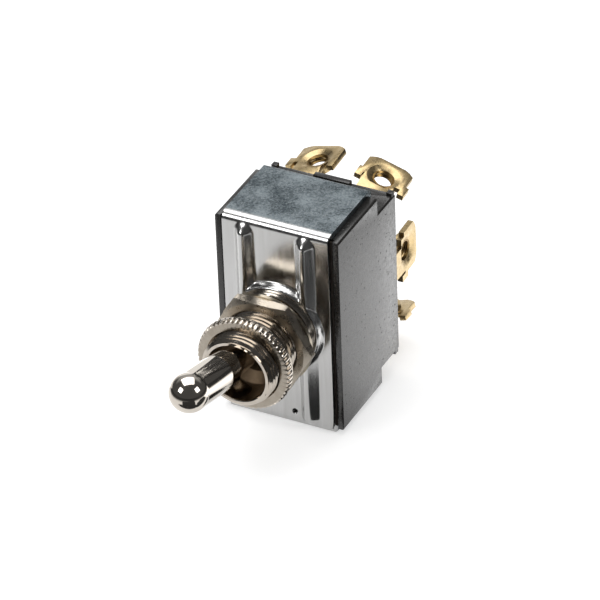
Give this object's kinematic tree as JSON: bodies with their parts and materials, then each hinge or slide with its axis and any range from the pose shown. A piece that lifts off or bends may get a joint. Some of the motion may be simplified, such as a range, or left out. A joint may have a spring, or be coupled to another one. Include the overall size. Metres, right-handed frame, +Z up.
{
  "type": "panel toggle switch",
  "caption": "Panel-mount toggle switch: ball-ended metal lever in a threaded bushing with nuts, folded metal bracket, dark moulded case and brass screw terminals.",
  "frame": {"origin": "centre of the hex nut's front face, where the panel seats, on the bushing's axis", "axes": "+X to the right seen from the lever's side, +Y into the depth of the switch along the bushing's axis, +Z up"},
  "size_m": [0.021, 0.0616, 0.0366],
  "materials": {
    "plated_steel": "bright zinc plate",
    "phenolic": "moulded, slightly pitted",
    "fibre": "matt",
    "bushing_nickel": "bright nickel plate",
    "nut_nickel": "bright nickel plate",
    "washer_steel": "zinc plate",
    "pin_steel": "ground",
    "lever_chrome": "bright nickel plate",
    "actuator_plastic": "moulded",
    "plunger_brass": "turned",
    "spring_steel": "drawn wire",
    "contact_copper": "stamped",
    "contact_silver": "silver",
    "terminal_brass": "stamped, bright"
  },
  "bodies": {
    "housing": {"bracket": "plated_steel", "case": "phenolic", "insulator_sheet": "fibre", "bushing": "bushing_nickel", "hex_nut": "nut_nickel", "ring_nut": "nut_nickel", "lock_washer": "washer_steel", "pivot_pin": "pin_steel", "terminal_top_left": "terminal_brass", "terminal_top_right": "terminal_brass", "terminal_middle_left": "terminal_brass", "terminal_middle_right": "terminal_brass", "terminal_bottom_left": "terminal_brass", "terminal_bottom_right": "terminal_brass", "fixed_contact_top_left": "contact_silver", "fixed_contact_top_right": "contact_silver", "fixed_contact_bottom_left": "contact_silver", "fixed_contact_bottom_right": "contact_silver"},
    "lever": {"toggle_lever": "lever_chrome", "actuator": "actuator_plastic", "plunger_spring_left": "spring_steel", "plunger_spring_right": "spring_steel"},
    "plunger_left": {"plunger_left": "plunger_brass"},
    "plunger_right": {"plunger_right": "plunger_brass"},
    "rocker_left": {"rocker_left": "contact_copper", "rocker_contacts_left": "contact_silver"},
    "rocker_right": {"rocker_right": "contact_copper", "rocker_contacts_right": "contact_silver"}
  },
  "joints": [
    {"name": "lever_tilt", "type": "hinge", "parent": "housing", "child": "lever", "pos_m": [0, 0.001, 0], "axis": [1, 0, 0], "range_deg": [0, 29]},
    {"name": "rocker_left_tilt", "type": "hinge", "parent": "housing", "child": "rocker_left", "pos_m": [-0.0057, 0.0186, 0], "axis": [1, 0, 0], "range_deg": [-16, 0]},
    {"name": "rocker_right_tilt", "type": "hinge", "parent": "housing", "child": "rocker_right", "pos_m": [0.0057, 0.0186, 0], "axis": [1, 0, 0], "range_deg": [-16, 0]},
    {"name": "plunger_left_slide", "type": "slide", "parent": "lever", "child": "plunger_left", "axis": [0, 0.9681, -0.2504], "range_m": [-0.0006, 0], "stiffness_N_per_m": 800, "deforming": ["plunger_spring_left"]},
    {"name": "plunger_right_slide", "type": "slide", "parent": "lever", "child": "plunger_right", "axis": [0, 0.9681, -0.2504], "range_m": [-0.0006, 0], "stiffness_N_per_m": 800, "deforming": ["plunger_spring_right"]}
  ],
  "couplings": [
    {"joint": "rocker_left_tilt", "follows": "lever_tilt", "ratio": -0.55},
    {"joint": "rocker_right_tilt", "follows": "lever_tilt", "ratio": -0.55}
  ]
}
